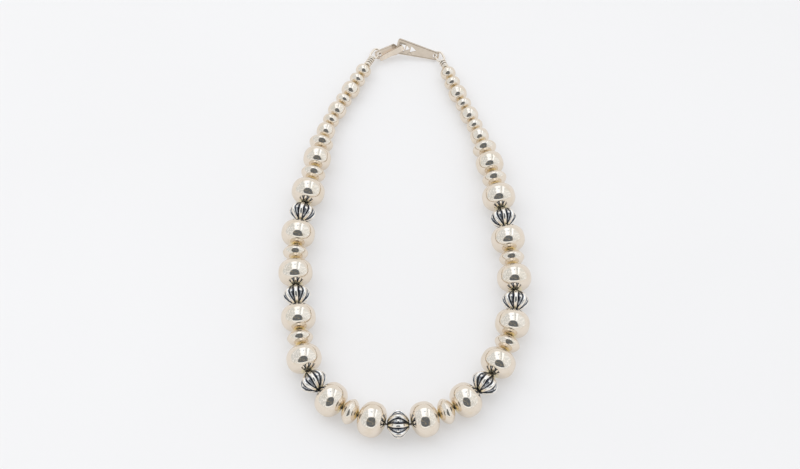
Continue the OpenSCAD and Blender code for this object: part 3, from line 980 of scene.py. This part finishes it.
def room_light(g, direction, x, front):
    """The room over the white sweep: greyer on the left, paler to the front, with a
    wide window and a narrow one behind, a bar between them and a small lamp."""
    clouds = g.math("MULTIPLY_ADD", g.noise(direction, 6.0, 4, 0.6), 3.8, -1.9)
    colour = g.mix(g.step(g.math("ADD", x, clouds), -0.5, 0.5), ROOM_LEFT, ROOM_RIGHT)
    colour = g.mix(g.step(front, 0.2, 0.6), colour, ROOM_FRONT)
    glints = g.step(g.noise(direction, 7.0, 2.5, 0.55), 0.44, 0.68, 0.0, 0.75)
    colour = g.mix(glints, colour, ROOM_GLINT)
    behind = g.step(front, -0.10, 0.15, 1.0, 0.0)
    ragged = g.math("MULTIPLY_ADD", g.noise(direction, 5, 3, 0.6), 0.30, -0.15)
    window = g.math("MULTIPLY", g.between(g.math("ADD", x, ragged), *WIDE_WINDOW, 0.05), behind)
    colour = g.mix(window, colour, WINDOW_WHITE)
    narrow = g.math("MULTIPLY", g.between(x, *NARROW_WINDOW, 0.04), behind)
    colour = g.mix(narrow, colour, WINDOW_WHITE)
    bar = g.math("MULTIPLY", g.between(x, *BAR_BETWEEN, 0.02), behind)
    colour = g.mix(bar, colour, WINDOW_BAR)
    lamp = g.step(facing(g, direction, LAMP_PLACE), 0.9955, 0.9980, 0.0, 0.6)
    return g.mix(lamp, colour, LAMP_GREY)


def photographer(g, direction, x, colour):
    """The dark shape that bends over the table: a dome with a straight lower edge."""
    depth = g.math("MAXIMUM", facing(g, direction, PERSON_AHEAD), 0.05)
    rise = g.math("DIVIDE", facing(g, direction, PERSON_UP), depth)
    swing = g.math("DIVIDE", x, depth)
    across = g.math("POWER", g.math("DIVIDE", g.math("ABSOLUTE", swing), PERSON_HALF_W), 2.6)
    height = g.math("DIVIDE", g.math("ADD", rise, 0.42), 0.98)
    upward = g.math("MULTIPLY", height, height)
    dome = g.step(g.math("ADD", across, upward), 0.90, 1.06, 1.0, 0.0)
    hem = g.math("MULTIPLY_ADD", g.math("MULTIPLY", swing, swing), -0.25, rise)
    body = g.math("MULTIPLY", dome, g.step(hem, *HEM_EDGE))
    folds = g.step(g.noise(direction, 4.5, 2, 0.5), 0.48, 0.66)
    coat = g.mix(folds, COAT_BLUE, COAT_BROWN)
    rim = g.math("MULTIPLY", g.between(hem, *HEM_RIM, 0.05), g.step(across, 0.8, 1.3, 1.0, 0.0))
    rim = g.math("MULTIPLY", rim, g.step(depth, 0.2, 0.4))
    return g.mix(body, g.mix(rim, colour, RIM_WHITE), coat)


def build_world():
    """Soft studio light: a white sweep low down all round and a pale room above it."""
    world = bpy.data.worlds.new("studio")
    world.use_nodes = True
    bpy.context.scene.world = world
    g = Graph(world.node_tree)
    direction = g.node("ShaderNodeTexCoord").outputs["Generated"]
    split = g.node("ShaderNodeSeparateXYZ")
    g.plug(split.inputs[0], direction)
    x, y, z = split.outputs
    front = g.math("MULTIPLY", y, -1.0)
    colour = room_light(g, direction, x, front)
    colour = photographer(g, direction, x, colour)
    rise_behind = g.step(y, 0.0, 0.9, 0.0, SWEEP_RISE_BEHIND)
    rise_front = g.step(front, 0.1, 0.9, 0.0, SWEEP_RISE_FRONT)
    above = g.math("SUBTRACT", z, g.math("ADD", rise_behind, rise_front))
    colour = g.mix(g.step(above, 0.01, 0.05), WALL_WHITE, colour)
    light = g.node("ShaderNodeBackground")
    g.plug(light.inputs["Color"], colour)
    light.inputs["Strength"].default_value = 1.0
    out = g.node("ShaderNodeOutputWorld")
    g.tree.links.new(light.outputs[0], out.inputs["Surface"])


def build_fills():
    for name, (direction, distance, size, power) in FILLS.items():
        lamp = bpy.data.lights.new(name, "AREA")
        lamp.shape = "DISK"
        lamp.size = size
        lamp.energy = power
        fill = bpy.data.objects.new(name, lamp)
        bpy.context.scene.collection.objects.link(fill)
        fill.location = distance * direction.normalized()
        fill.rotation_euler = direction.to_track_quat("Z", "Y").to_euler()
        fill.visible_glossy = False
        fill.visible_camera = False


def place_camera():
    lens = bpy.data.cameras.new("camera")
    lens.sensor_fit = "HORIZONTAL"
    lens.sensor_width = SENSOR_WIDTH
    lens.lens = FOCAL_LENGTH
    lens.clip_start = 0.01
    lens.clip_end = 50
    camera = bpy.data.objects.new("camera", lens)
    bpy.context.scene.collection.objects.link(camera)
    back = Vector((0, -math.cos(CAMERA_ELEVATION), math.sin(CAMERA_ELEVATION)))
    camera.location = CAMERA_AIM + CAMERA_DISTANCE * back
    camera.rotation_euler = back.to_track_quat("Z", "Y").to_euler()
    bpy.context.scene.camera = camera


def set_view():
    scene = bpy.context.scene
    scene.view_settings.view_transform = "Standard"
    scene.view_settings.look = "None"
    scene.view_settings.exposure = 0
    scene.view_settings.gamma = 1


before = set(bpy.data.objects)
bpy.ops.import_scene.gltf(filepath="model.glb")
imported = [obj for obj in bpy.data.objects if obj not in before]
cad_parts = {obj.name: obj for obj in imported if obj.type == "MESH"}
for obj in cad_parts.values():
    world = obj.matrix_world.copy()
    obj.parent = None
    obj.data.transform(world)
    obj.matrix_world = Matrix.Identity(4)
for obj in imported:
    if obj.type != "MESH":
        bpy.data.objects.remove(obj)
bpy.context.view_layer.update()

place_camera()
set_view()
build_world()
build_fills()
build_floor(paper("sweep_paper"))
build_backdrop(paper("wall_paper"))

bead_silver = polished_silver(
    "bead_silver_polished", (SILVER, SILVER_WARM), (TARNISH_AND_REFLECTION_GOLD, TARNISH_AND_SHADE_CORE),
    (0.05, 0.11), 0.000012, 1.0)
wire_silver = polished_silver(
    "wire_silver_polished", (SILVER, SILVER_WARM), (WIRE_FILM_AND_SHADE, WIRE_DARK),
    (0.12, 0.20), 0.000008, 0.80)
groove_silver = oxidised_silver("fluted_silver_oxidised")
thread_steel = cable("thread_cable_strands")

build_plain_beads(bead_silver)
for fluted in sorted(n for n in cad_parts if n.startswith("fluted")):
    build_fluted_bead(fluted, groove_silver)
for wire_end in WIRE_ENDS:
    build_wire_end(wire_end, wire_silver)
# The hook plate gets lighter silver than the eye plate: painted light against the tongue's shade
build_plate("hook_plate", plate_silver("hook_plate_satin", hook_marks, (HOOK_SILVER_LIGHTENED, HOOK_WARM_LIGHTENED), 0.28))
build_plate("eye_plate", plate_silver("eye_plate_satin", eye_marks, (PLATE_SILVER, PLATE_WARM), 0.42))
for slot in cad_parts["thread"].material_slots:
    slot.material = thread_steel
